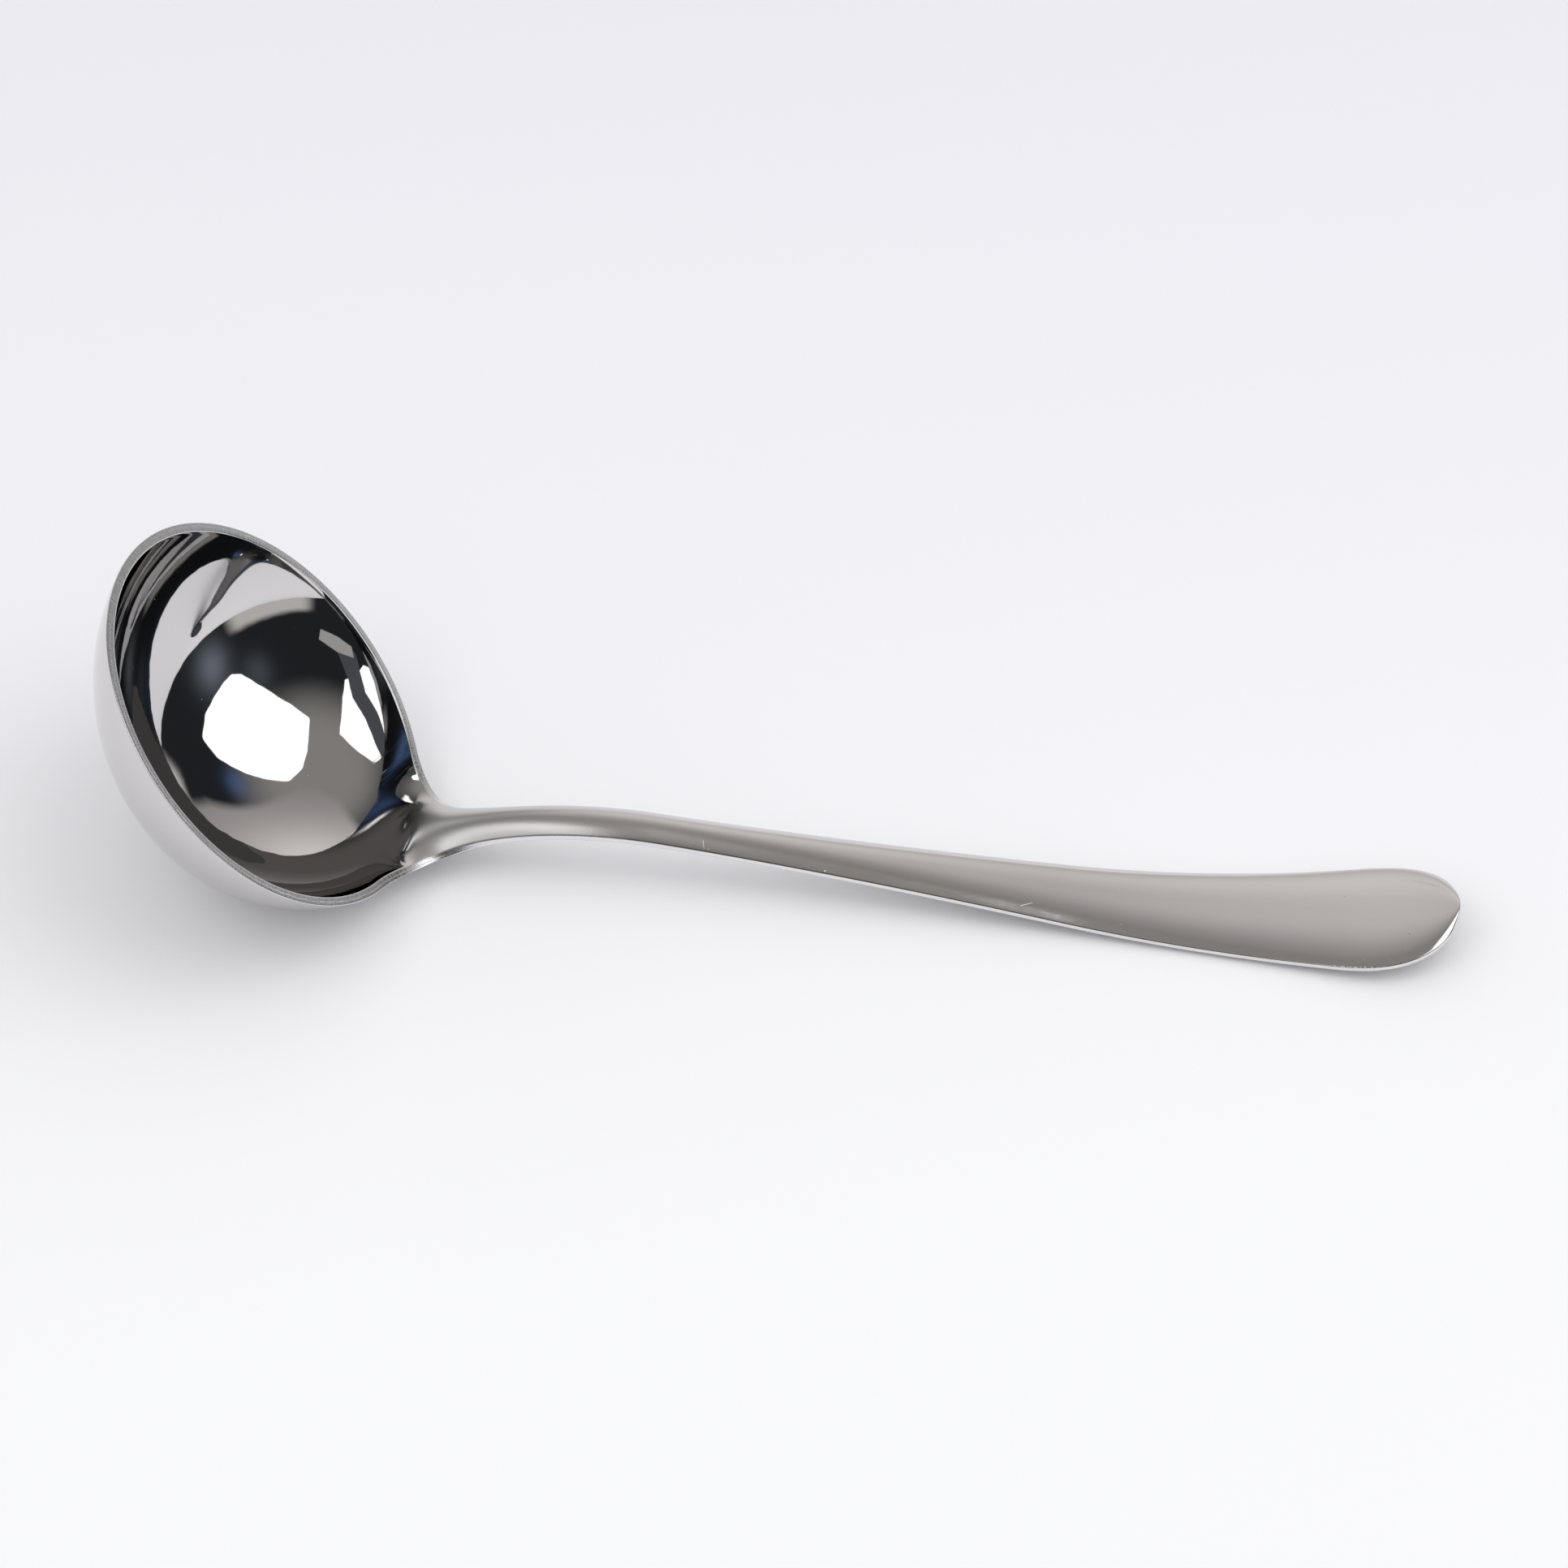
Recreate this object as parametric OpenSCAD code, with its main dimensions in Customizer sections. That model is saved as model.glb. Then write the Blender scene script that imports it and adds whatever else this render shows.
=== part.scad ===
// Gravy ladle pressed from one piece of stainless steel: an oval dished bowl with a flat ground rim,
// a neck that grows out of the bowl's wall, and an arched handle that widens to a round end.
//
// It lies as it comes to rest on a table: the bowl on its underside and the handle on its back.
// X runs from the bowl to the handle's end, Z is up, and the plane Y = 0 halves the ladle.
// The origin is on the table, under the middle of the whole length.
//
// The form is one skin, lofted along the ladle. Each section is a row of points from the near edge
// to the far edge. In the bowl a row hangs from the rim as an arc of the dish, at the neck it turns
// over, and along the handle it stands up as a crown. An inner and an outer skin share their rows,
// and the strip between their edges is the rim of the bowl and the side of the handle.

/* [Bowl] */
// Length of the bowl, measured in the plane of its rim along the handle's direction
bowl_l = 57.8; // [50:0.1:68]
// Width of the bowl across its rim
bowl_w = 62; // [52:0.1:72]
// Depth of the bowl from the plane of its rim to its outer underside
bowl_h = 20.6; // [18:0.1:25]
// Angle between the bowl's wall and the plane of the rim, at the rim
wall_angle = 76; // [55:0.5:84]
// How far the deepest point lies from under the middle of the rim, towards the handle
lean = 1.5; // [0:0.1:3]
// Angle at which the plane of the rim leans down towards the handle
tilt = 45.4; // [38:0.5:50]
// Width of the flat ground rim, which is the thickness of the wall there
rim_t = 1.4; // [0.8:0.1:2]
// Thickness of the bowl at its bottom
base_t = 1.5; // [0.8:0.1:2.2]

/* [Neck] */
// Angle at which the neck rises from the lip of the hollow
neck_rise = 21.2; // [14:0.1:28]
// Share of the bowl's half length at which the rim leaves the oval and turns into the neck
flare = 0.878; // [0.82:0.002:0.9]
// Width of the neck where it is narrowest
neck_w = 6.2; // [4.5:0.1:9]
// Height of the ridge above the edges at the neck
neck_crown = 2; // [0.8:0.1:2.4]
// Height of the side face at the neck
neck_edge = 1; // [0.6:0.1:1.6]
// Length over which the neck's section fades into the handle's
fade_l = 25; // [15:1:40]
// Softness of the turn from the falling rim to the rising edge of the handle
turn_soft = 1.85; // [1:0.05:2.5]

/* [Handle] */
// Length of the handle from the lip of the bowl's hollow to the round end
handle_l = 147; // [125:0.5:175]
// Thickness of the handle at its middle line
handle_t = 2.3; // [1.9:0.1:3]
// Height of the crown above the edges along the handle
crown = 1; // [0.4:0.1:1.1]
// Height of the side face along the handle
edge_t = 0.7; // [0.4:0.1:0.8]
// Length of the bend that turns the neck's rise into the handle's fall
arch_l = 34.8; // [28:0.5:44]
// Distance from the lip to where the handle starts to curl up towards its end
curl_start = 91.4; // [80:1:100]
// Radius of the upward curl
curl_r = 196; // [150:1:240]
// Radius of the stronger curl of the round end
tip_r = 71; // [50:1:120]

/* [Outline of the handle] */
// Full width of the handle near its end
tip_w = 19.5; // [15:0.1:25]
// Length of the rounding at the end
end_l = 17; // [12:0.5:22]
// Fullness of the rounded end: 2 is an ellipse, more is squarer
end_power = 2.6; // [2:0.1:4]
// Distance from the lip to where the handle starts to widen
taper_start = 34; // [25:1:45]
// How late the width grows: 1 is a straight taper
taper_power = 1.7; // [1.2:0.05:2.2]
// Fullness of the crown's shoulders: 2 is a plain arch, more is flatter on top
shoulder = 3.4; // [2:0.1:5]

/* [Smoothness] */
// Sections along the bowl
bowl_rows = 26; // [16:1:36]
// Sections along the neck and the handle
handle_rows = 46; // [30:1:60]
// Strips on each side of the middle line
half_strips = 13; // [8:1:16]

/* [Hidden] */
steel = [0.80, 0.80, 0.82];

tilt_s = sin(tilt);
tilt_c = cos(tilt);
wall_s = sin(wall_angle);
wall_c = cos(wall_angle);
// The way down from the rim to the deepest point, for each unit of depth
down_x = tilt_s - lean/bowl_h*tilt_c;
down_z = tilt_c + lean/bowl_h*tilt_s;

// Half length, half width and depth of the hollow and of the outside of the bowl
hollow = [bowl_l/2 - rim_t, bowl_w/2 - rim_t, bowl_h - base_t];
outside = [bowl_l/2, bowl_w/2, bowl_h];

// The dish's middle line is an arc of an ellipse with these half axes, sunk by the wall's angle
arc_l = outside[0]/wall_s;
arc_h = outside[2]/(1 - wall_c);
// Height of the middle of the rim that puts the lowest point of the bowl on the table
rim_z = norm([arc_l*tilt_s, arc_h*down_z]) - arc_h*wall_c*down_z;
// How far the bowl reaches back past the middle of its rim
back_x = norm([arc_l*tilt_c, arc_h*down_x]) - arc_h*wall_c*down_x;

// The lip, where the middle line leaves the hollow, and the slope of the neck there
lip_x = hollow[0]*tilt_c;
lip_z = rim_z - hollow[0]*tilt_s;
rise = tan(neck_rise);
// The slope after the arch that lets the handle's back just touch the table
arch_x = lip_x + arch_l;
curl_x = lip_x + curl_start;
fall_l = curl_x - lip_x - arch_l/2;
fall = (fall_l - sqrt(pow(fall_l, 2) + 2*curl_r*(lip_z + rise*arch_l/2 - handle_t)))/curl_r;
tip_x = lip_x + handle_l;
widest_x = tip_x - end_l;
belly = handle_t - crown - edge_t;

// Lengths over which the rim's flat band turns into the side face, and the hanging section into a crown
side_turn = 10;
section_turn = 8;
// The hollow and the underside merge into the handle's lines within these distances of the lip
hollow_merge = 0.5;
back_merge = 5;

// 0 before from, 1 after to, and an even curve between
function ease(x, from, to) = let (t = min(max((x - from)/(to - from), 0), 1)) t*t*(3 - 2*t);
// How far x has passed a point, and 0 before it
function past(x, from) = max(x - from, 0);
// Height gained by a line whose slope changes evenly by change between from and to
function bend(x, from, to, change) =
    change*(pow(past(x, from), 2) - pow(past(x, to), 2))/(2*(to - from));

// Share of the dish's depth at the square of the distance from its middle, which is 1 at the rim
function dish(r2) = (sqrt(max(1 - r2*wall_s*wall_s, 0)) - wall_c)/(1 - wall_c);
// Steepness of the dish's middle line against the plane of the rim, at a share q of its half length
function dish_slope(skin, q) =
    skin[2]*q*pow(wall_s, 2)/((1 - wall_c)*sqrt(1 - pow(q*wall_s, 2))*skin[0]);
// Slope of the dish's middle line against the table where it reaches the rim
function wall_slope(skin) =
    let (s = dish_slope(skin, 1)) (s*down_z - tilt_s)/(s*down_x + tilt_c);

// Height of the dish's middle line above the table at a place on its rising side
function dish_z(skin, x) =
    let (
        l = skin[0]/wall_s,
        h = skin[2]/(1 - wall_c),
        a = pow(down_x/(l*tilt_c), 2) + 1/(h*h),
        b = 2*x*down_x/pow(l*tilt_c, 2) + 2*wall_c/h,
        c = pow(x/(l*tilt_c), 2) + wall_c*wall_c - 1,
        depth = (sqrt(max(b*b - 4*a*c, 0)) - b)/(2*a)
    )
    rim_z - (x*tilt_s + depth)/tilt_c;
// The same line, carried on straight past the rim
function wall_z(skin, x) =
    let (end_x = skin[0]*tilt_c)
    x < end_x ? dish_z(skin, x) : rim_z - skin[0]*tilt_s + wall_slope(skin)*(x - end_x);

// Share of the neck's section that is left at x
function neck_share(x) = exp(-past(x, lip_x)/fade_l);
function crown_at(x) = crown + (neck_crown - crown)*neck_share(x);
function side_at(x) = edge_t + (neck_edge - edge_t)*neck_share(x);

// Middle line of the handle's top: up out of the bowl, over the arch, down, and up to the end
function ridge_z(x) =
    lip_z + rise*(x - lip_x) + bend(x, lip_x, arch_x, fall - rise)
    + pow(past(x, curl_x), 2)/(2*curl_r) + pow(past(x, widest_x), 2)*(1/tip_r - 1/curl_r)/2;
// Upper edge: the plane of the rim over the bowl and the foot of the crown along the handle
function edge_z(x) =
    let (foot = ridge_z(x) - crown_at(x), rim = rim_z - x*tilt_s/tilt_c)
    foot + turn_soft*ln(1 + exp((rim - foot)/turn_soft));
// Middle line of the handle's back
function back_z(x) = ridge_z(x) - crown_at(x) - side_at(x) - belly;

// Half width of the handle, before its end is rounded
function taper(x) =
    let (t = past(x, lip_x + taper_start)/(widest_x - lip_x - taper_start))
    neck_w/2 + (tip_w - neck_w)/2*pow(t, taper_power);
// Share of the width that the rounded end leaves
function end_share(x) = sqrt(1 - pow(min(past(x, widest_x)/end_l, 1), end_power));

// Where the rim leaves the oval, and how quickly its width then shrinks to the neck's
function flare_x(skin) = skin[0]*flare*tilt_c;
function flare_w(skin) = skin[1]*sqrt(1 - flare*flare);
function flare_slope(skin) = skin[1]/skin[0]*flare/sqrt(1 - flare*flare)/tilt_c;
function half_width(skin, x) =
    let (extra = flare_w(skin) - neck_w/2)
    (taper(x) + extra*exp(-(x - flare_x(skin))*flare_slope(skin)/extra))*end_share(x);

// One section: [edge x, edge half width, edge height, middle x, middle height, q]
// where q is how far along the oval the section stands, as a share of its half length
function bowl_row(skin, q) =
    let (depth = skin[2]*dish(q*q), x = skin[0]*q*tilt_c, z = rim_z - skin[0]*q*tilt_s)
    [x, skin[1]*sqrt(1 - q*q), edge_z(x), x - depth*down_x, z - depth*down_z, q];
function handle_row(skin, is_outer, x) =
    let (
        from = flare_x(skin),
        lag = skin[2]*dish(flare*flare)*down_x,
        lag_slope = dish_slope(skin, flare)*down_x/tilt_c,
        mid_x = x - lag*exp(-(x - from)*lag_slope/lag),
        end_x = skin[0]*tilt_c,
        drop = is_outer ? side_at(x)*ease(x, from, from + side_turn) : 0,
        merge_l = is_outer ? back_merge : hollow_merge,
        merge = ease(mid_x, end_x - merge_l, end_x + merge_l),
        line_z = is_outer ? back_z(mid_x) : ridge_z(mid_x)
    )
    [x, half_width(skin, x), edge_z(x) - drop, mid_x, wall_z(skin, mid_x)*(1 - merge) + line_z*merge, flare];

// Stations crowd together at the far end of the bowl, at the neck and at the handle's end
function bowl_stations() =
    let (turn = acos(-flare))
    [for (i = [0:bowl_rows - 1]) -cos(turn*i/(bowl_rows - 1))];
function handle_stations(skin) =
    let (from = flare_x(skin))
    [for (i = [1:handle_rows]) from + (tip_x - from)*sin(90*pow(i/handle_rows, 1.7))];
function rows(skin, is_outer) = concat(
    [for (q = bowl_stations()) bowl_row(skin, q)],
    [for (x = handle_stations(skin)) handle_row(skin, is_outer, x)]);

// Share of the way from the edge to the middle at u, which runs from -1 to 1 across a section
function rise_share(row, from, u) =
    let (
        q2 = row[5]*row[5],
        bowl = dish(q2 + (1 - q2)*u*u)/dish(q2),
        power = 2 + (shoulder - 2)*ease(row[0], arch_x, widest_x),
        handle = 1 - pow(abs(u), power),
        turned = ease(row[0], from, from + section_turn)
    )
    bowl*(1 - turned) + handle*turned;
function section(row, from) = [
    for (j = [-half_strips:half_strips])
        let (u = sin(wall_angle*j/half_strips)/wall_s, s = rise_share(row, from, u))
        [row[0] + (row[3] - row[0])*s, row[1]*u, row[2] + (row[4] - row[2])*s]];

// All points of a skin: one at the far end of the bowl, the sections, and one at the handle's end
function skin_points(skin, is_outer) =
    let (all = rows(skin, is_outer), last = len(all) - 1, from = flare_x(skin))
    concat(
        [[all[0][0], 0, all[0][2]]],
        [for (i = [1:last - 1]) each section(all[i], from)],
        [[all[last][0], 0, all[last][2]]]);

// Places of the points in a skin's list
strips = 2*half_strips;
sections = bowl_rows + handle_rows - 2;
function at(i, j) = 1 + i*(strips + 1) + j;
skin_size = 2 + sections*(strips + 1);
last_point = skin_size - 1;

// Triangles of the upper skin, split towards the middle line so that both halves match
skin_faces = concat(
    [for (j = [0:strips - 1]) [0, at(0, j + 1), at(0, j)]],
    [for (i = [0:sections - 2], j = [0:strips - 1])
        let (a = at(i, j), b = at(i, j + 1), c = at(i + 1, j + 1), d = at(i + 1, j))
        each (j < half_strips ? [[a, b, d], [b, c, d]] : [[a, b, c], [a, c, d]])],
    [for (j = [0:strips - 1]) [at(sections - 1, j), at(sections - 1, j + 1), last_point]]);
// Edge of a skin, once round: along the near side to the handle's end and back on the far side
loop = concat([0], [for (i = [0:sections - 1]) at(i, 0)],
    [last_point], [for (i = [sections - 1:-1:0]) at(i, strips)]);
side_faces = [for (k = [0:len(loop) - 1])
    let (a = loop[k], b = loop[(k + 1) % len(loop)])
    each [[a, b, b + skin_size], [a, b + skin_size, a + skin_size]]];

module ladle() {
    color(steel)
        translate([(back_x - tip_x)/2, 0, 0])
            polyhedron(
                points = concat(skin_points(hollow, false), skin_points(outside, true)),
                faces = concat(
                    skin_faces,
                    [for (f = skin_faces) [f[2] + skin_size, f[1] + skin_size, f[0] + skin_size]],
                    side_faces),
                convexity = 6);
}

ladle();
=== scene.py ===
# %% [markdown]
# # A gravy ladle in polished steel
# The ladle on the table is one piece of stainless steel: a dished bowl with a flat ground rim, a neck
# that grows out of the bowl's wall, and an arched handle. A real one is cut from sheet as a flat
# blank, rolled thinner along the handle, pressed in a die for the bowl and in another for the arch,
# then ground along its edge and polished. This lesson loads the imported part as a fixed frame, builds
# the same form again as a fine skin that can carry mirror reflections, and gives it the finish of
# the real one.

# %% The frame
import math
import bmesh
import bpy
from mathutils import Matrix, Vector


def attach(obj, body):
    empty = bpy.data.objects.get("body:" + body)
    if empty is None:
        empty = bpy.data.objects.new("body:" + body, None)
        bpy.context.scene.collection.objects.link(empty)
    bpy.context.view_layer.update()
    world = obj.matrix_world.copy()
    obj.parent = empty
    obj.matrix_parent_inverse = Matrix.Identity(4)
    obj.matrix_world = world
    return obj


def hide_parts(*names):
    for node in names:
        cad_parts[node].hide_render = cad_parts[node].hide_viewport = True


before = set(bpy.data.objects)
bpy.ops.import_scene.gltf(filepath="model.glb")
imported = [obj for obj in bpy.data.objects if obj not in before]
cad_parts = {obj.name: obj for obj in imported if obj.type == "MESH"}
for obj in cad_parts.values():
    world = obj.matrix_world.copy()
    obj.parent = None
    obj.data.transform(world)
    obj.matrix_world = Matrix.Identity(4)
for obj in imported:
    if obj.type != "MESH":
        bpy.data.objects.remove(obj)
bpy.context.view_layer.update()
MM = 0.001

# %% [markdown]
# ## Sums as nodes
# A rule for a shape, like a rule for a colour, is a sum. Blender's nodes can do sums, but a page of
# them is hard to read. One small class wraps a socket, so that `a * b + 1` in Python adds the Math
# nodes that work it out. The same class serves the modelling tree and the material.


# %% One class for every tree
class Wire:
    """A value that runs through a node tree."""

    def __init__(self, tree, socket):
        self.tree, self.socket = tree, socket

    def node(self, kind, settings=None, inputs=None, output=0):
        """Adds any node: its settings first, then the values or links of its sockets."""
        return add_node(self.tree, kind, settings, inputs, output)

    def math(self, operation, *others):
        return self.node("ShaderNodeMath", {"operation": operation}, dict(enumerate((self, *others))))

    def __add__(self, other):
        return self.math("ADD", other)

    def __sub__(self, other):
        return self.math("SUBTRACT", other)

    def __mul__(self, other):
        return self.math("MULTIPLY", other)

    def __truediv__(self, other):
        return self.math("DIVIDE", other)

    def __pow__(self, other):
        return self.math("POWER", other)

    def __neg__(self):
        return self * -1

    def __rsub__(self, other):
        return self * -1 + other

    def __rtruediv__(self, other):
        return self ** -1 * other

    __radd__ = __add__
    __rmul__ = __mul__


def add_node(tree, kind, settings=None, inputs=None, output=0):
    """The one place where nodes are made."""
    made = tree.nodes.new(kind)
    for name, value in (settings or {}).items():
        setattr(made, name, value)
    for name, value in (inputs or {}).items():
        if isinstance(value, Wire):
            tree.links.new(value.socket, made.inputs[name])
        else:
            made.inputs[name].default_value = value
    return Wire(tree, made.outputs[output])


# %% [markdown]
# A few more words are worth having: the smaller and the larger of two values, how far a value has
# passed a mark, and an even ease from 0 to 1. Forms that run into each other softly are made of
# these. The last two put three values together as one vector, and as a place in the mesh.

# %% Small words for the sums
def smaller(a, b):
    return a.math("MINIMUM", b)


def larger(a, b):
    return a.math("MAXIMUM", b)


def root(a):
    return larger(a, 0).math("SQRT")


def past(x, start):
    """How far x has passed start, and 0 before it."""
    return larger(x - start, 0)


def ease(x, start, end):
    """0 before start, 1 after end, and an even curve between."""
    t = smaller(larger((x - start) / (end - start), 0), 1)
    return t * t * (3 - 2 * t)


def choose(mask, when_off, when_on):
    """when_on where the mask is 1, and when_off where it is 0."""
    return mask * (when_on - when_off) + when_off


def together(x, y, z):
    return x.node("ShaderNodeCombineXYZ", None, {0: x, 1: y, 2: z})


def point(x, y, z):
    """The place in metres, which Blender counts in, of a point in millimetres."""
    return together(x * MM, y * MM, z * MM)


# %% [markdown]
# ## The sizes
# These are the sizes that the ladle is made to, in millimetres and degrees. They become the inputs
# of the modelling tree, so the form can be changed there without touching its rule. Below them stand
# the lengths over which the bowl's form turns into the handle's, and two amounts too small to see,
# which keep the sums from dividing by nothing.

# %% Driving sizes
SIZES = {
    "Bowl length": 57.8, "Bowl width": 62.0, "Bowl depth": 20.6, "Wall angle": 76.0, "Lean": 1.5,
    "Tilt": 45.4, "Rim thickness": 1.4, "Base thickness": 1.5, "Flare": 0.878,
    "Neck width": 6.2, "Neck rise": 21.2, "Neck crown": 2.0, "Neck edge": 1.0, "Fade length": 25.0,
    "Turn softness": 1.85,
    "Handle length": 147.0, "Handle thickness": 2.3, "Crown": 1.0, "Edge thickness": 0.7,
    "Arch length": 34.8, "Curl start": 91.4, "Curl radius": 196.0, "Tip radius": 71.0,
    "Tip width": 19.5, "End length": 17.0, "End power": 2.6, "Taper start": 34.0, "Taper power": 1.7,
    "Shoulder": 3.4, "Edge rounding": 0.16,
}
SIDE_TURN, SECTION_TURN = 10.0, 8.0
HOLLOW_MERGE, BACK_MERGE = 0.5, 5.0
HAIR, LEAST_SHARE = 1e-4, 1e-6
print(len(SIZES), "driving sizes, from a bowl", SIZES["Bowl width"], "mm wide to an edge rounded by",
      SIZES["Edge rounding"], "mm")


# %% [markdown]
# ## The rule of the form
# A ladle is lofted along its length. Over every place of the flat outline stands a section that
# hangs from the rim as an arc of the dish in the bowl, and stands up as a crown on the handle. All
# of it is worked out as fields, so the same rule gives the hollow and the back of the sheet: `back`
# is 0 for one and 1 for the other.
#
# First come the values that follow from the sizes. The ladle lies on the deepest point of its bowl
# and on the back of its handle, so the height of the rim follows from the tilt, and the handle has
# to fall just as far as its arch has climbed.

# %% Values that follow from the sizes
class Derived:
    def __init__(self, size, back):
        s = self.size = size
        self.back = back
        tilt, wall = s["Tilt"].math("RADIANS"), s["Wall angle"].math("RADIANS")
        self.tilt_s, self.tilt_c = tilt.math("SINE"), tilt.math("COSINE")
        self.wall_s, self.wall_c = wall.math("SINE"), wall.math("COSINE")
        outside = [s["Bowl length"] / 2, s["Bowl width"] / 2, s["Bowl depth"]]
        sheet = [s["Rim thickness"], s["Rim thickness"], s["Base thickness"]]
        hollow = [size - thick for size, thick in zip(outside, sheet)]
        self.length, self.width, self.depth = [choose(back, i, o) for i, o in zip(hollow, outside)]
        lean = s["Lean"] / s["Bowl depth"]
        self.down_x, self.down_z = self.tilt_s - lean * self.tilt_c, self.tilt_c + lean * self.tilt_s
        arc_l, arc_h = outside[0] / self.wall_s, outside[2] / (1 - self.wall_c)
        sunk = arc_h * self.wall_c
        self.rim_z = root((arc_l * self.tilt_s) ** 2 + (arc_h * self.down_z) ** 2) - sunk * self.down_z
        back_x = root((arc_l * self.tilt_c) ** 2 + (arc_h * self.down_x) ** 2) - sunk * self.down_x
        self.lip_x, self.lip_z = hollow[0] * self.tilt_c, self.rim_z - hollow[0] * self.tilt_s
        self.rise = s["Neck rise"].math("RADIANS").math("TANGENT")
        self.arch_x, self.curl_x = self.lip_x + s["Arch length"], self.lip_x + s["Curl start"]
        run = s["Curl start"] - s["Arch length"] / 2
        climb = self.lip_z + self.rise * s["Arch length"] / 2 - s["Handle thickness"]
        self.fall = (run - root(run * run + 2 * s["Curl radius"] * climb)) / s["Curl radius"]
        self.tip_x = self.lip_x + s["Handle length"]
        self.widest_x = self.tip_x - s["End length"]
        self.shift = (back_x - self.tip_x) / 2
        self.flare_x = self.length * s["Flare"] * self.tilt_c


# %% [markdown]
# ## The dish
# The bowl is pressed as part of a ball that is drawn out to an oval, so a vertical cut shows an arc
# with a steep wall. Its depth is taken at right angles to the rim and leans a little to the handle.

# %% The bowl's dish
class Dish(Derived):
    def dish(self, r2):
        """Share of the dish's depth at the square of the distance from its middle."""
        return (root(1 - r2 * self.wall_s * self.wall_s) - self.wall_c) / (1 - self.wall_c)

    def dish_slope(self, length, depth, q):
        steep = depth * q * self.wall_s ** 2
        return steep / ((1 - self.wall_c) * root(1 - (q * self.wall_s) ** 2) * length)

    def wall_slope(self, length, depth):
        s = self.dish_slope(length, depth, 1)
        return (s * self.down_z - self.tilt_s) / (s * self.down_x + self.tilt_c)

    def dish_z(self, x):
        """Height of the dish's middle line, carried on straight past the rim."""
        end = self.length * self.tilt_c
        at, l, h = smaller(x, end), self.length / self.wall_s, self.depth / (1 - self.wall_c)
        a = (self.down_x / (l * self.tilt_c)) ** 2 + 1 / (h * h)
        b = 2 * at * self.down_x / (l * self.tilt_c) ** 2 + 2 * self.wall_c / h
        c = (at / (l * self.tilt_c)) ** 2 + self.wall_c ** 2 - 1
        depth = (root(b * b - 4 * a * c) - b) / (2 * a)
        straight = self.wall_slope(self.length, self.depth) * past(x, end)
        return self.rim_z - (at * self.tilt_s + depth) / self.tilt_c + straight


# %% [markdown]
# ## The lines along the ladle
# Four lines run the whole length: the outline as seen from above, the ground edge, the ridge of the
# handle and how far its crown stands over the edge. The die bends the neck up, arches the handle
# over and lets its end curl up again, so the ridge is a chain of straights and arcs that join
# without a kink. The round end closes by a power a little over 2, which is fuller than a half oval.

# %% Outline, ridge and edge
class Lines(Dish):
    def fading(self, x, along, at_neck):
        """A size of the handle that starts at its value at the neck and settles along the way."""
        share = (-past(x, self.lip_x) / self.size["Fade length"]).math("EXPONENT")
        return along + (at_neck - along) * share

    def crown(self, x):
        return self.fading(x, self.size["Crown"], self.size["Neck crown"])

    def side(self, x):
        return self.fading(x, self.size["Edge thickness"], self.size["Neck edge"])

    def ridge_z(self, x):
        s = self.size
        turn = self.fall - self.rise
        arch = turn * (past(x, self.lip_x) ** 2 - past(x, self.arch_x) ** 2) / (2 * s["Arch length"])
        curl = past(x, self.curl_x) ** 2 / (2 * s["Curl radius"])
        tip = past(x, self.widest_x) ** 2 * (1 / s["Tip radius"] - 1 / s["Curl radius"]) / 2
        return self.lip_z + self.rise * (x - self.lip_x) + arch + curl + tip

    def edge_z(self, x):
        soft = self.size["Turn softness"]
        foot = self.ridge_z(x) - self.crown(x)
        over = (self.rim_z - x * self.tilt_s / self.tilt_c - foot) / soft
        top = foot + soft * (over.math("EXPONENT") + 1).math("LOGARITHM", math.e)
        drop = self.side(x) * ease(x, self.flare_x, self.flare_x + SIDE_TURN)
        return top - self.back * drop

    def half_width(self, x):
        """Half width of the outline: the oval, the flare into the neck, and the rounded handle."""
        s, flare = self.size, self.size["Flare"]
        q = smaller(larger(x / (self.length * self.tilt_c), -1), 1)
        oval = self.width * root(1 - q * q)
        t = past(x, self.lip_x + s["Taper start"]) / (self.widest_x - self.lip_x - s["Taper start"])
        taper = s["Neck width"] / 2 + (s["Tip width"] - s["Neck width"]) / 2 * t ** s["Taper power"]
        lean = root(1 - flare * flare)
        extra = self.width * lean - s["Neck width"] / 2
        slope = self.width / self.length * flare / lean / self.tilt_c
        flared = extra * (-past(x, self.flare_x) * slope / extra).math("EXPONENT")
        end = root(1 - smaller(past(x, self.widest_x) / s["End length"], 1) ** s["End power"])
        return choose(x.math("GREATER_THAN", self.flare_x), oval, (taper + flared) * end)


# %% [markdown]
# ## The section
# Between the edge and the middle line stands the section. In the neck it turns over from a hanging
# dish to a standing crown, which is the hardest part of the ladle, for the toolmaker as for the
# rule: both forms are worked out everywhere, and one eases into the other just behind the lip.

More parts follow.
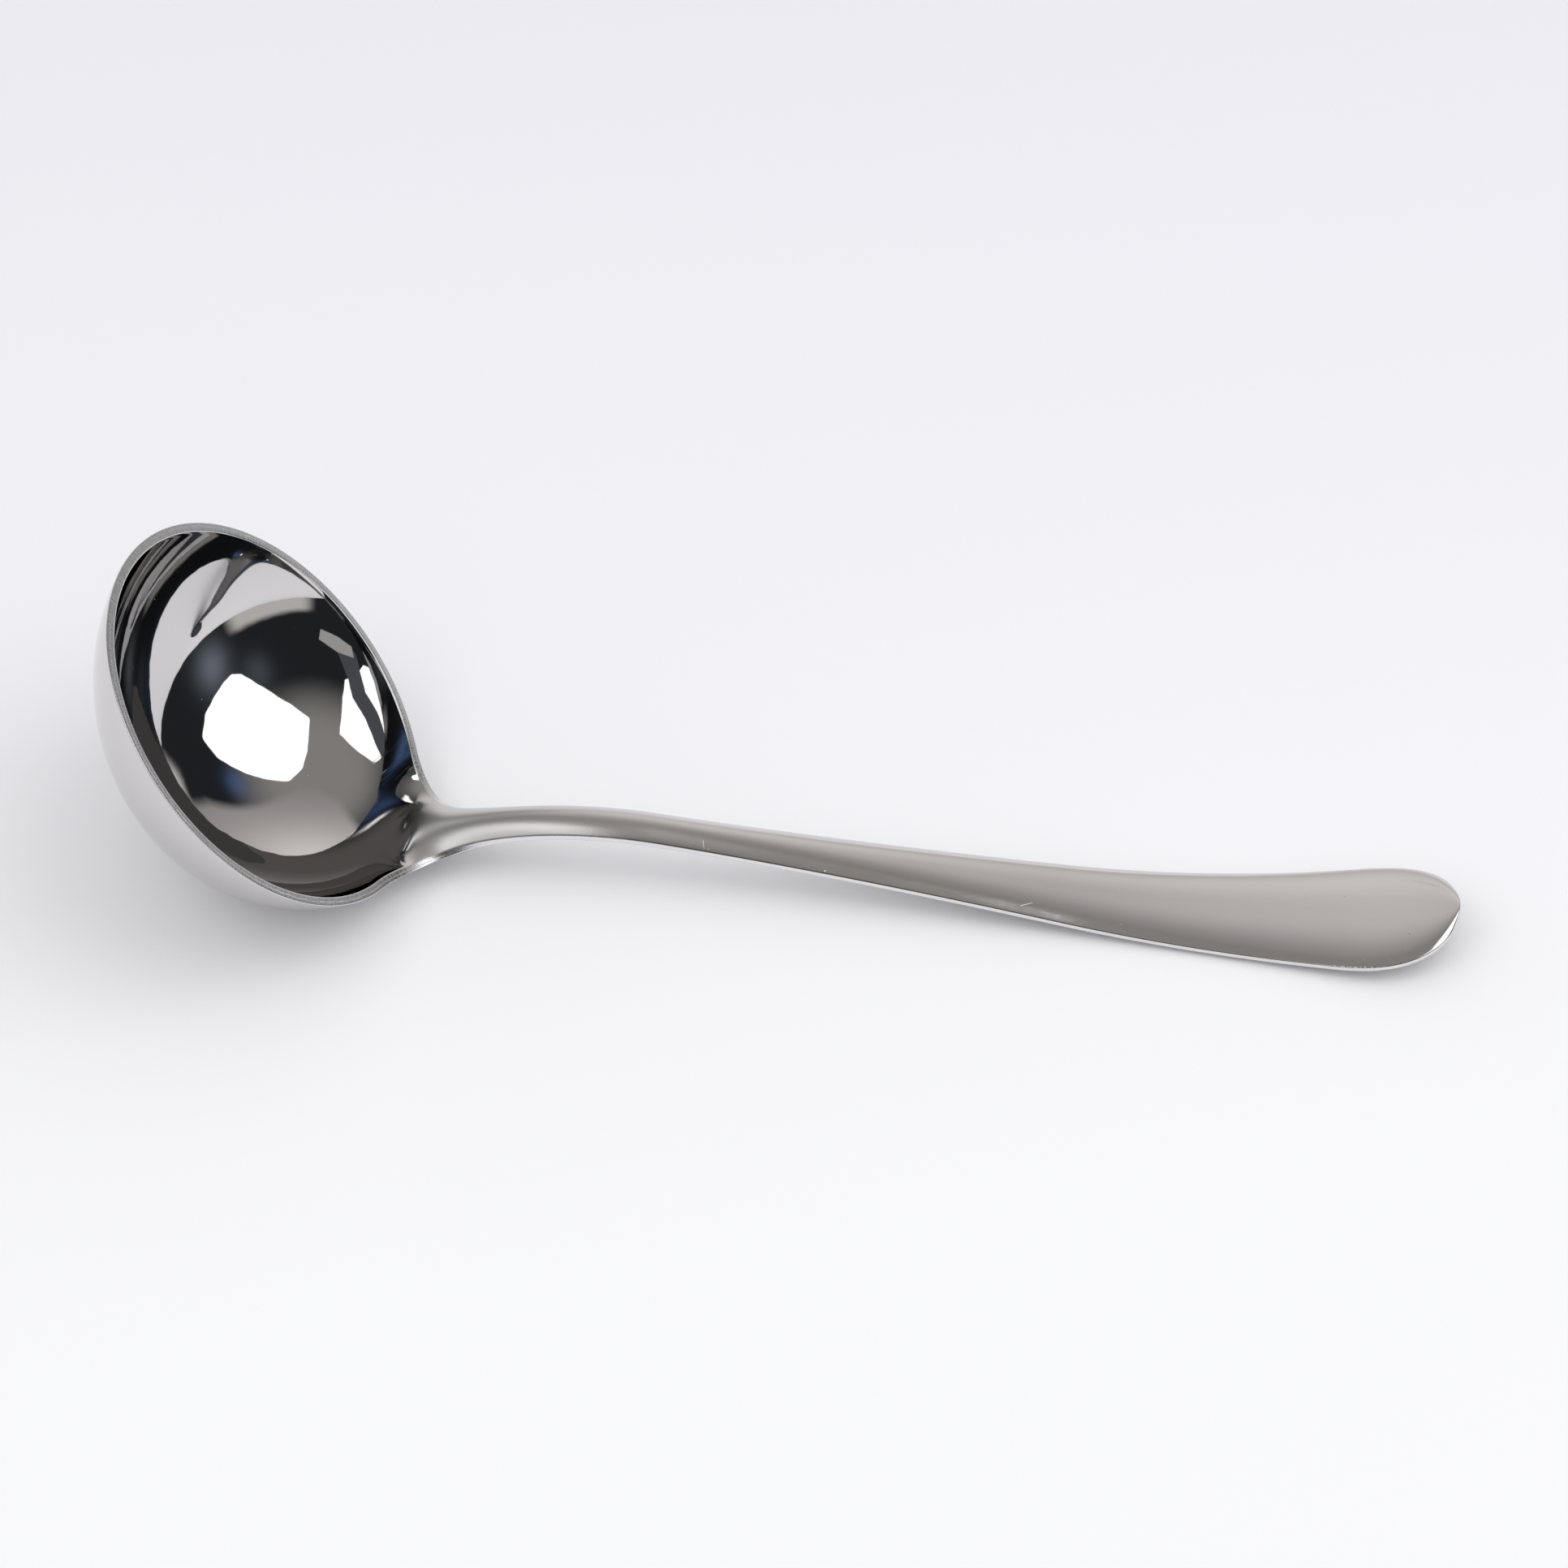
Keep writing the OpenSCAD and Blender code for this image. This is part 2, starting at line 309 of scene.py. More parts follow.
# %% The section between edge and middle
class Form(Lines):
    def middle(self, x):
        """Place and height of the middle line that belongs to the edge at x."""
        s, flare = self.size, self.size["Flare"]
        q = x / (self.length * self.tilt_c)
        deep = self.depth * self.dish(smaller(q * q, 1))
        bowl_z = self.rim_z - x * self.tilt_s / self.tilt_c - deep * self.down_z
        lag = self.depth * self.dish(flare * flare) * self.down_x
        lag_slope = self.dish_slope(self.length, self.depth, flare) * self.down_x / self.tilt_c
        handle_x = x - lag * (-past(x, self.flare_x) * lag_slope / lag).math("EXPONENT")
        end = self.length * self.tilt_c
        reach = choose(self.back, HOLLOW_MERGE, BACK_MERGE)
        merge = ease(handle_x, end - reach, end + reach)
        ridge = self.ridge_z(handle_x)
        belly = s["Handle thickness"] - s["Crown"] - s["Edge thickness"]
        line = ridge - self.back * (self.crown(handle_x) + self.side(handle_x) + belly)
        handle_z = choose(merge, self.dish_z(handle_x), line)
        on_handle = x.math("GREATER_THAN", self.flare_x)
        return choose(on_handle, x - deep * self.down_x, handle_x), choose(on_handle, bowl_z, handle_z)

    def place(self, x, y):
        """The point of the sheet over a place of the flat outline, in metres."""
        q = smaller(x / (self.length * self.tilt_c), self.size["Flare"])
        q2 = q * q
        u = y / larger(self.half_width(x), HAIR)
        whole = larger(self.dish(smaller(q2, 1)), LEAST_SHARE)
        bowl = self.dish(smaller(q2 + (1 - q2) * u * u, 1)) / whole
        power = 2 + (self.size["Shoulder"] - 2) * ease(x, self.arch_x, self.widest_x)
        handle = 1 - u.math("ABSOLUTE") ** power
        share = choose(ease(x, self.flare_x, self.flare_x + SECTION_TURN), bowl, handle)
        mid_x, mid_z = self.middle(x)
        edge_z = self.edge_z(x)
        return point(x + (mid_x - x) * share + self.shift, y, edge_z + (mid_z - edge_z) * share)


# %% [markdown]
# ## From the rule to a mesh
# A mirror shows every flaw of its mesh, so the grid follows the outline and not the page. Each column
# of the grid starts at the outline and runs in to the middle line, or in the bowl to the middle of
# the dish. One grid covers everything: its middle rows lie on the ground edge, the next ones round
# that off by a sixth of a millimetre, and the rest cover the hollow to one side and the back to the
# other. Where columns meet, their points are merged, and the shell is closed.

# %% Counts of the grid
COLUMNS = 640
EDGE_ROWS, ROUND_ROWS, SKIN_ROWS = 3, 5, 46
ROWS = EDGE_ROWS + ROUND_ROWS + SKIN_ROWS
BOWL_SHARE = 0.42
TIP_CROWDING, EDGE_CROWDING = 1.7, 1.4
NECK_STARTS, SPINE_STARTS, NECK_ENDS = 8, 22, 24
print("The grid has", COLUMNS, "columns and", 2 * ROWS, "rows")

# %% [markdown]
# The outline is walked from the front end of the bowl along one side to the tip, and back along the
# other. In the bowl the walk goes by the angle of the oval, and along the handle it slows down
# towards the round end, where the outline turns most.

# %% Walking the outline
def outline(form, along):
    """Place of the edge, its half width and the way walked, for a share of the way to the tip."""
    angle = smaller(along / BOWL_SHARE, 1) * (-form.size["Flare"]).math("ARCCOSINE")
    run = past(along, BOWL_SHARE) / (1 - BOWL_SHARE)
    run = (run ** TIP_CROWDING * (math.pi / 2)).math("SINE")
    on_handle = along.math("GREATER_THAN", BOWL_SHARE)
    handle_x = form.flare_x + (form.tip_x - form.flare_x) * run + HAIR
    x = choose(on_handle, -(form.length * form.tilt_c * angle.math("COSINE")), handle_x)
    width = choose(on_handle, form.width * angle.math("SINE"), form.half_width(x))
    return x, width, angle * form.width + past(x, form.flare_x)


def corner(form, x, y):
    """The sharp edge of a skin over the outline."""
    return point(x + form.shift, y, form.edge_z(x))


# %% [markdown]
# Each point of the grid is put on its skin, and near the edge on a curve that leaves the skin, turns
# round the corner and runs on along the ground edge. A sharp corner would look cut from paper: the
# fine rounding is what draws the thin bright line along the rim.

# %% The shell with rounded edges
def between(a, b, share):
    """The point at a share of the way from a to b."""
    return a.node("ShaderNodeMix", {"data_type": "VECTOR"}, {0: share, 4: a, 5: b}, 1)


def rounded_shell(size, turn, row):
    """Where a point of the grid goes, from its turn round the outline and its row."""
    depth = row.math("ABSOLUTE")
    back = row.math("GREATER_THAN", 0)
    along = 1 - (2 * turn - 1).math("ABSOLUTE")
    side = choose(turn.math("GREATER_THAN", 0.5), -1, 1)
    own, other = Form(size, back), Form(size, 1 - back)
    x, w, walked = outline(own, along)
    other_x, other_w, _ = outline(other, along)

    ahead, neck = larger(x, 0), ease(x, NECK_STARTS, NECK_ENDS)
    spine = ahead * ease(ahead, 0, SPINE_STARTS) - past(x, own.widest_x) ** 2 / size["End length"] / 2
    reach = root(((x - spine) / choose(neck, own.tilt_c, 1)) ** 2 + w * w)
    inset = size["Edge rounding"] * choose(neck, own.wall_c, 1) / reach
    inwards = past(depth, EDGE_ROWS + ROUND_ROWS) / SKIN_ROWS
    share = inset + (1 - inset) * inwards ** EDGE_CROWDING
    on_skin = own.place(x + (spine - x) * share, side * w * (1 - share))

    flat = choose(ease(x, own.flare_x, own.flare_x + SIDE_TURN), size["Rim thickness"], own.side(x))
    first = size["Edge rounding"] / flat
    across = 0.5 + (first - 0.5) * smaller(depth / EDGE_ROWS, 1)
    sharp = corner(own, x, side * w)
    on_edge = between(sharp, corner(other, other_x, side * other_w), across)
    round_share = 1 - smaller(past(depth, EDGE_ROWS) / ROUND_ROWS, 1)
    start, end = between(on_skin, sharp, round_share), between(sharp, on_edge, round_share)
    return between(start, end, round_share), round_share, walked


# %% [markdown]
# ## The modelling tree
# The tree starts from a flat grid, keeps two values for the finish on its points (how much a point
# belongs to the ground edge, and the way walked along the rim), moves the points to their places and
# merges those that meet. The grid is walked the other way round, so Flip Faces turns it outwards.

# %% The tree
def part(vector, axis):
    return vector.node("ShaderNodeSeparateXYZ", None, {0: vector}, axis)


def skin_tree(finish):
    tree = bpy.data.node_groups.new("ladle_skin", "GeometryNodeTree")
    tree.interface.new_socket("Geometry", in_out="OUTPUT", socket_type="NodeSocketGeometry")
    for name, value in SIZES.items():
        socket = tree.interface.new_socket(name, in_out="INPUT", socket_type="NodeSocketFloat")
        socket.default_value = value
    sizes = tree.nodes.new("NodeGroupInput")
    size = {name: Wire(tree, sizes.outputs[name]) for name in SIZES}
    grid = add_node(tree, "GeometryNodeMeshGrid", None, {
        "Size X": 1.0, "Size Y": 1.0, "Vertices X": COLUMNS + 1, "Vertices Y": 2 * ROWS + 1})
    flat = add_node(tree, "GeometryNodeInputPosition")
    turn = ((part(flat, 0) + 0.5) * COLUMNS).math("ROUND") / COLUMNS
    row = (part(flat, 1) * (2 * ROWS)).math("ROUND")
    place, edge, along = rounded_shell(size, turn, row)
    shell = grid
    for name, value in {"edge": edge, "along": along}.items():
        held = {"Geometry": shell, "Name": name, "Value": value}
        shell = shell.node("GeometryNodeStoreNamedAttribute", None, held)
    shell = shell.node("GeometryNodeSetPosition", None, {"Geometry": shell, "Position": place})
    shell = shell.node("GeometryNodeMergeByDistance", None, {"Geometry": shell, "Distance": 0.001 * MM})
    shell = shell.node("GeometryNodeFlipFaces", None, {"Mesh": shell})
    shell = shell.node("GeometryNodeSetShadeSmooth", None, {"Geometry": shell})
    shell = shell.node("GeometryNodeRealizeInstances", None, {"Geometry": shell})
    shell = shell.node("GeometryNodeSetMaterial", None, {"Geometry": shell, "Material": finish})
    out = tree.nodes.new("NodeGroupOutput")
    tree.links.new(shell.socket, out.inputs[0])
    print("The tree of the ladle's form has", len(tree.nodes), "nodes")
    return tree


# %% A piece from its tree
def grown(name, tree, values):
    """A plain mesh piece, from a modelling tree and its sizes."""
    piece = bpy.data.objects.new(name, bpy.data.meshes.new(name))
    bpy.context.scene.collection.objects.link(piece)
    modifier = piece.modifiers.new("form", "NODES")
    modifier.node_group = tree
    for item in tree.interface.items_tree:
        if item.in_out == "INPUT":
            modifier[item.identifier] = values[item.name]
    graph = bpy.context.evaluated_depsgraph_get()
    mesh = bpy.data.meshes.new_from_object(piece.evaluated_get(graph))
    piece.modifiers.remove(modifier)
    piece.data = mesh
    return piece


# %% [markdown]
# ## The finish
# The hollow and the back of the bowl are polished to a mirror. Polishing by hand never leaves a true
# mirror: the sheet stays a little wavy, with a fine orange peel on top, and both show as soft wobbles
# in the edges of a reflection. The handle is brushed along its length before its last polish, and the
# rim is ground across and left so, which makes it a pale matt band.
#
# All of this is height and roughness, not colour. The heights are in thousandths of a millimetre,
# and fine enough that a bump can carry them: the form itself is in the mesh.

# %% Helpers for a finish
def noise(where, scale, detail=0.0):
    """An even noise about 0, with a scale in patches for each millimetre."""
    values = {"Vector": where, "Scale": scale, "Detail": detail}
    return where.node("ShaderNodeTexNoise", {"noise_dimensions": "3D"}, values) - 0.5


def blend(a, b, share):
    """The colour at a share of the way from a to b."""
    return share.node("ShaderNodeMix", {"data_type": "RGBA"}, {0: share, 6: a, 7: b}, 2)


def attribute(tree, name):
    return add_node(tree, "ShaderNodeAttribute", {"attribute_name": name}, None, "Fac")


# %% [markdown]
# The photographed ladle has been used, and its marks are kept where they are: four short scratches
# and five small pits on the handle, a patch of fine parallel scratches where the bowl meets the neck,
# a row of small dents along the near edge of the handle's end, and tiny specks all over the polish.
# Places are in millimetres: both ends of a scratch as seen from above, and the middle of a pit.

# %% Marks of use
SCRATCHES = [
    ((-10.6, -1.7), (-10.3, -2.9)), ((34.1, -4.4), (35.9, -3.6)),
    ((67.1, -7.2), (67.7, -8.3)), ((69.1, -7.6), (71.2, -8.7)),
]
PITS = [(41.9, -2.1, 3.2), (78.7, 3.3, 3.1), (24.7, -4.8, 3.9), (6.7, -3.4, 6.2), (87.9, -4.8, 4.5)]
RUBBED, RUB_FADES = (-56, 12.5, 6), (5, 2.5)
RUB_TURN, RUB_STRETCH, RUB_LINES = (0.8, 0.6), 0.12, 5
SCRATCH_DEEP, PIT_DEEP, SPECK_DEEP, RUB_DEEP, DENT_DEEP = 5, 18, 7, 2.5, 40
SCRATCH_HALF, PIT_HALF, SPECK_HALF = 0.08, 0.16, 0.03
SPECK_SCALE, DENT_SCALE = 0.3, 2.2
DENTS_BEGIN, DENTS_END, DENTS_NEAR = (76.5, 78.5), (90, 88), (-8.7, -9.1)
print(len(SCRATCHES), "scratches and", len(PITS), "pits")


def distance(here, other):
    return here.node("ShaderNodeVectorMath", {"operation": "DISTANCE"}, {0: here, 1: other}, 1)


def scratch(x, y, start, end, half):
    """1 along a straight scratch, as seen from above."""
    (x0, y0), (x1, y1) = start, end
    long = math.hypot(x1 - x0, y1 - y0)
    c, s = (x1 - x0) / long, (y1 - y0) / long
    along = (x - x0) * c + (y - y0) * s
    aside = ((y - y0) * c - (x - x0) * s).math("ABSOLUTE")
    return ease(half - aside, 0, half) * ease(along, 0, 0.2) * ease(long - along, 0, 0.2)


def worn(x, y, z, here):
    """How deep the marks of use are, in thousandths of a millimetre."""
    deep = 0
    for start, end in SCRATCHES:
        deep = scratch(x, y, start, end, SCRATCH_HALF) * SCRATCH_DEEP + deep
    for pit in PITS:
        deep = ease(PIT_HALF - distance(here, pit), 0, 0.12) * PIT_DEEP + deep
    cell = here.node("ShaderNodeTexVoronoi", None, {"Vector": here, "Scale": SPECK_SCALE}, 0)
    specks = ease(SPECK_HALF - cell, 0, 0.02) * SPECK_DEEP
    c, s = RUB_TURN
    along, across = (x * c + y * s) * RUB_STRETCH, (y * c - x * s) * RUB_LINES
    fine = noise(together(along, across, z * RUB_STRETCH), 1, 1)
    rubs = ease(fine, 0.08, 0.25) * ease(distance(here, RUBBED), *RUB_FADES) * RUB_DEEP
    dents = ease(x, *DENTS_BEGIN) * ease(x, *DENTS_END) * ease(y, *DENTS_NEAR)
    return deep + specks + rubs + noise(here, DENT_SCALE, 1) * dents * DENT_DEEP


# %% [markdown]
# ## The steel
# One material covers the whole ladle. The neck comes from the bending die and is harder to reach
# with the wheel, so it's the dullest part after the rim. On the rim the grooves of grinding run
# across, which spreads what it mirrors along the rim and makes it sparkle at both sides of the bowl.

# %% Polished steel
WAVES, PEEL, BRUSHING, GROOVES = 40.0, 3.5, 1.5, 14.0
WAVE_WIDE, PEEL_WIDE = 9, 1.4
MIRROR, SATIN, DULL_NECK, STREAKS, RIM, RIM_STREAKS = 0.03, 0.07, 0.3, 0.08, 0.3, 0.3
SATIN_COMES, DULL_COMES, DULL_GOES = (-28, 10), (-54, -49), (12, -42)
BRUSH_LINES, GROOVE_LINES, STRETCHED = 5, 7, 0.02
STEEL, GROUND_STEEL = (0.665, 0.65, 0.645, 1), (0.82, 0.82, 0.82, 1)


def steel_finish():
    steel = bpy.data.materials.new("ladle_steel")
    steel.use_nodes = True
    tree = steel.node_tree
    shader = tree.nodes["Principled BSDF"]
    shader.inputs["Metallic"].default_value = 1.0
    where = add_node(tree, "ShaderNodeTexCoord", None, None, "Object")
    x, y, z = [part(where, axis) / MM for axis in range(3)]
    here = together(x, y, z)
    ground = attribute(tree, "edge")
    along = attribute(tree, "along")
    handle = ease(x, *SATIN_COMES)

    waves = noise(here, 1 / WAVE_WIDE) * WAVES + noise(here, 1 / PEEL_WIDE) * PEEL
    brushed = noise(together(x * STRETCHED, y, z), BRUSH_LINES, 2)
    grooves = noise(together(along, z * STRETCHED, 0), GROOVE_LINES, 2)
    height = waves + brushed * handle * BRUSHING + grooves * ground * GROOVES - worn(x, y, z, here)
    normal = height.node("ShaderNodeBump", None, {"Strength": 1.0, "Distance": MM / 1000, "Height": height})
    tree.links.new(normal.socket, shader.inputs["Normal"])

    neck = ease(x, *DULL_COMES) * ease(x, *DULL_GOES)
    polish = MIRROR + SATIN * handle + DULL_NECK * neck + brushed * handle * STREAKS
    rough = choose(ground, polish, RIM + grooves * RIM_STREAKS)
    tree.links.new(rough.socket, shader.inputs["Roughness"])
    metal = blend(STEEL, GROUND_STEEL, ground)
    tree.links.new(metal.socket, shader.inputs["Base Color"])
    return steel


# %% The ladle itself
ladle = grown("ladle_skin", skin_tree(steel_finish()), SIZES)

# %% A look at the mesh
check = bmesh.new()
check.from_mesh(ladle.data)
open_edges = sum(not edge.is_manifold for edge in check.edges)
volume = check.calc_volume(signed=True) / MM ** 3
print("Faces", len(check.faces), "open edges", open_edges, "volume", round(volume, 1), "mm3")
check.free()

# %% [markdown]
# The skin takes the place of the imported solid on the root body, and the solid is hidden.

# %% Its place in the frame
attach(ladle, "root")
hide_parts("ladle")
print(ladle.name, "rides on root, as polished_steel")

# %% [markdown]
# ## The camera
# The photograph looks down on the ladle from its near side, from nearly a metre away and with a long
# lens. Turn, look and aim were fitted together with the sizes, to the rim, silhouette and tip in the
# photograph.

# %% Camera
turn, look_down = math.radians(6.8), math.radians(42.32)
reach = math.cos(look_down)
back = Vector((math.sin(turn) * reach, -math.cos(turn) * reach, math.sin(look_down)))
aim, AWAY = Vector((-1.93, 20.52, 0)) * MM, 0.9
camera = bpy.data.objects.new("camera", bpy.data.cameras.new("camera"))
bpy.context.scene.collection.objects.link(camera)
camera.location = aim + back * AWAY
camera.rotation_euler = (-back).to_track_quat("-Z", "Y").to_euler()
camera.data.lens = 144.91
camera.data.sensor_width = 36
bpy.context.scene.camera = camera
bpy.context.scene.view_settings.view_transform = "Standard"
print("The camera stands at", [round(v, 3) for v in camera.location], "m")

# %% [markdown]
# ## The studio
# Polished steel has hardly a colour of its own. What is seen on it is the room, so the room is built
# as a photographer would build it: a pale table, a soft light over the right side, another over the
# near left side with a stand in front of it, a light wall behind, and dark cloth nearly everywhere
# else. Every board is described by its corners as the bowl sees them: a turn from the far side
# towards the right, and an angle down from straight overhead, both in degrees.
#
# In a hollow mirror a light shows once, and again smaller where one wall mirrors the other. The
# small waves of a real bowl break that second picture up, so the lights are dimmed in it.

# %% Directions from the bowl
BOWL = Vector((-0.065, 0, 0.015))


def towards(turned, down):
    turned, down = math.radians(turned), math.radians(down)
    return Vector((math.sin(turned) * math.sin(down), math.cos(turned) * math.sin(down), math.cos(down)))


def mirrored_again(tree):
    """1 in second and later reflections, and 0 in the first."""
    depth = add_node(tree, "ShaderNodeLightPath", None, None, "Glossy Depth")
    return depth.math("GREATER_THAN", 1.5)


def staged(name, mesh, material, lights=False):
    """An object of the studio, which only the steel sees unless it lights the table too."""
    thing = bpy.data.objects.new(name, mesh)
    bpy.context.scene.collection.objects.link(thing)
    mesh.materials.append(material)
    thing.visible_camera = False
    if not lights:
        material.cycles.emission_sampling = "NONE"
        thing.visible_diffuse = False
        thing.visible_shadow = False


def glowing(name, colour_and_strength):
    """A material that glows, from a function that is given its tree."""
    material = bpy.data.materials.new(name)
    material.use_nodes = True
    tree = material.node_tree
    tree.nodes.clear()
    colour, strength = colour_and_strength(tree)
    light = strength.node("ShaderNodeEmission", None, {"Color": colour, "Strength": strength})
    tree.links.new(light.socket, tree.nodes.new("ShaderNodeOutputMaterial").inputs[0])
    return material


# %% Boards round the ladle
AGAIN_DIMMED = 0.95


def board(name, corners, colour, strength, away, radius=0.0, lights=False):
    """A flat board in front of the given corners, at a distance in metres."""
    rays = [towards(*corner) for corner in corners]
    middle = sum(rays, Vector()).normalized()
    shape = bmesh.new()
    shape.faces.new([shape.verts.new(BOWL + ray / ray.dot(middle) * away) for ray in rays])
    if radius:
        rounding = {"offset": radius * away, "segments": 6, "profile": 0.5, "affect": "VERTICES"}
        bmesh.ops.bevel(shape, geom=shape.verts, **rounding)
    flat = bpy.data.meshes.new(name)
    shape.to_mesh(flat)
    shape.free()
    dimmed = AGAIN_DIMMED if lights else 0
    glow = glowing(name, lambda tree: ((*colour, 1), strength * (1 - mirrored_again(tree) * dimmed)))
    staged(name, flat, glow, lights)
    print("Board", name, "with", len(corners), "corners,", away, "m away")


RIGHT_LIGHT = [
    (44, 24), (54, 40), (61, 60), (66, 68), (77, 69), (90, 68), (103, 67), (109, 63), (117, 50),
    (132, 33), (146, 23), (100, 11), (56, 14),
]
LEFT_LIGHT = [
    (275, 37), (276, 32), (258, 21), (210, 16), (201, 24), (196, 35), (195, 45), (207, 54),
    (209, 58), (220, 60), (236, 55), (250, 46),
]
STAND = [
    (279, 41), (268, 36), (258, 34), (232, 34), (207, 38), (197, 47), (186, 59), (190, 66),
    (201, 62), (208, 53), (218, 45), (236, 43), (250, 42), (264, 42),
]
STAND_HEAD = [(200, 59), (186, 59), (172, 65), (174, 71), (186, 68), (197, 65)]
board("right_light", RIGHT_LIGHT, (1, 1, 1), 1.6, 1.0, 0.02, True)
board("left_light", LEFT_LIGHT, (1, 1, 1), 1.6, 1.0, 0, True)
board("light_stand", STAND, (0.9, 0.95, 1.1), 0.09, 0.88)
board("stand_head", STAND_HEAD, (1, 0.99, 0.97), 0.42, 0.85)

# %% [markdown]
# ## The room
# The rest of the room is a dome that only reflections see, painted by direction. Three kinds of
# paint are enough: a wide even fall-off from one side, a soft round spot, and a region between
# corners with soft edges.

# %% Paint by direction
def dot(ray, axis):
    return ray.node("ShaderNodeVectorMath", {"operation": "DOT_PRODUCT"}, {0: ray, 1: axis}, 1)


def facing(ray, turned, down):
    """The cosine of the angle to a direction."""
    return dot(ray, towards(turned, down))


def spot(ray, turned, down, width):
    """A soft round spot of the given half width in degrees."""
    narrow = 1 / (1 - math.cos(math.radians(width)))
    return ((facing(ray, turned, down) - 1) * narrow).math("EXPONENT")


def region(ray, corners, soft):
    """1 inside a region between the given corners, with soft edges, and 0 outside."""
    rays = [towards(*corner) for corner in corners]
    middle = sum(rays, Vector())
    depth = None
    for one, other in zip(rays, rays[1:] + rays[:1]):
        side = one.cross(other).normalized()
        side = side if side.dot(middle) > 0 else -side
        inside = dot(ray, side)
        depth = smaller(inside, depth) if depth else inside
    return ease(depth, 0, math.radians(soft))


# %% [markdown]
# The paint goes on in layers, as on a wall. Dark cloth turns grey overhead. A wall stands behind the
# ladle and is brightest some way over the table, with a window at its left and a dark curtain beside
# it. Low down at the near right lies a pale strip, and behind the table a sweep of white paper. Two
# pale gleams on the cloth and a blue one by the right light colour the dark parts of the bowl.
#
# A blue gleam, a white point and a dark spot more show only in second reflections. They stand for
# what the photograph has in the ring where one wall of the bowl mirrors the other.

# %% The painted room
WALL = [
    (42, 100), (41, 71), (48, 55), (54, 44), (48, 26), (0, 14), (326, 24), (315, 38), (323, 60),
    (322, 100),
]
WINDOW = [(303, 43), (311, 43), (323, 54), (325, 66), (318, 66)]
CURTAIN = [(324, 54), (335, 57), (348, 60), (356, 65), (344, 70), (332, 70)]
BLACK, WARM_WHITE, WHITE_POINT = (0, 0, 0, 1), (1, 0.955, 0.94, 1), (5, 5, 5, 1)
CLOTH, OVERHEAD = (0.018, 0.02, 0.023, 1), (0.3, 0.29, 0.28, 1)
PANE, CURTAIN_CLOTH = (1.5, 1.5, 1.5, 1), (0.03, 0.03, 0.034, 1)
PALE_BLUE, BLUE, DEEP_BLUE = (0.75, 0.85, 1, 1), (0.17, 0.31, 0.65, 1), (0.1, 0.22, 0.55, 1)
PALE_STRIP, PAPER = (0.6, 0.585, 0.57, 1), (0.92, 0.91, 0.9, 1)
ROOM_DIMMED, SPOT_DIMMED = 0.5, 0.35


def first_seen(ray):
    """The room as a first reflection shows it."""
    overhead = ease(facing(ray, 20, 8), 0.6, 0.96)
    paint = blend(CLOTH, OVERHEAD, overhead)
    gleams = spot(ray, 96, 77, 10) * 0.2 + spot(ray, 119, 58, 9) * 0.07
    paint = blend(paint, PALE_BLUE, gleams)
    wall = blend(BLACK, WARM_WHITE, 0.3 + spot(ray, -5, 62, 26) * 0.53)
    paint = blend(paint, wall, region(ray, WALL, 6))
    paint = blend(paint, PANE, region(ray, WINDOW, 2))
    paint = blend(paint, CURTAIN_CLOTH, region(ray, CURTAIN, 2))
    paint = blend(paint, DEEP_BLUE, spot(ray, 50, 52, 6) * 0.3)
    up = facing(ray, 0, 0)
    strip = ease(0.17 - up, 0, 0.08) * ease(facing(ray, 142, 90), 0.85, 0.94)
    paint = blend(paint, PALE_STRIP, strip)
    sweep = ease(0.2 - up, 0, 0.12) * ease(facing(ray, 0, 90), 0.64, 0.8)
    return blend(paint, PAPER, sweep)


def room_paint(tree):
    where = add_node(tree, "ShaderNodeTexCoord", None, None, "Object")
    ray = where.node("ShaderNodeVectorMath", {"operation": "SUBTRACT"}, {0: where, 1: BOWL})
    ray = where.node("ShaderNodeVectorMath", {"operation": "NORMALIZE"}, {0: ray})
    again = mirrored_again(tree)
    paint = blend(first_seen(ray), BLUE, again * spot(ray, 147, 50, 9))
    paint = blend(paint, WHITE_POINT, again * spot(ray, 159, 36, 2.5))
    return paint, 1 - again * (ROOM_DIMMED + spot(ray, 275, 24, 7) * SPOT_DIMMED)


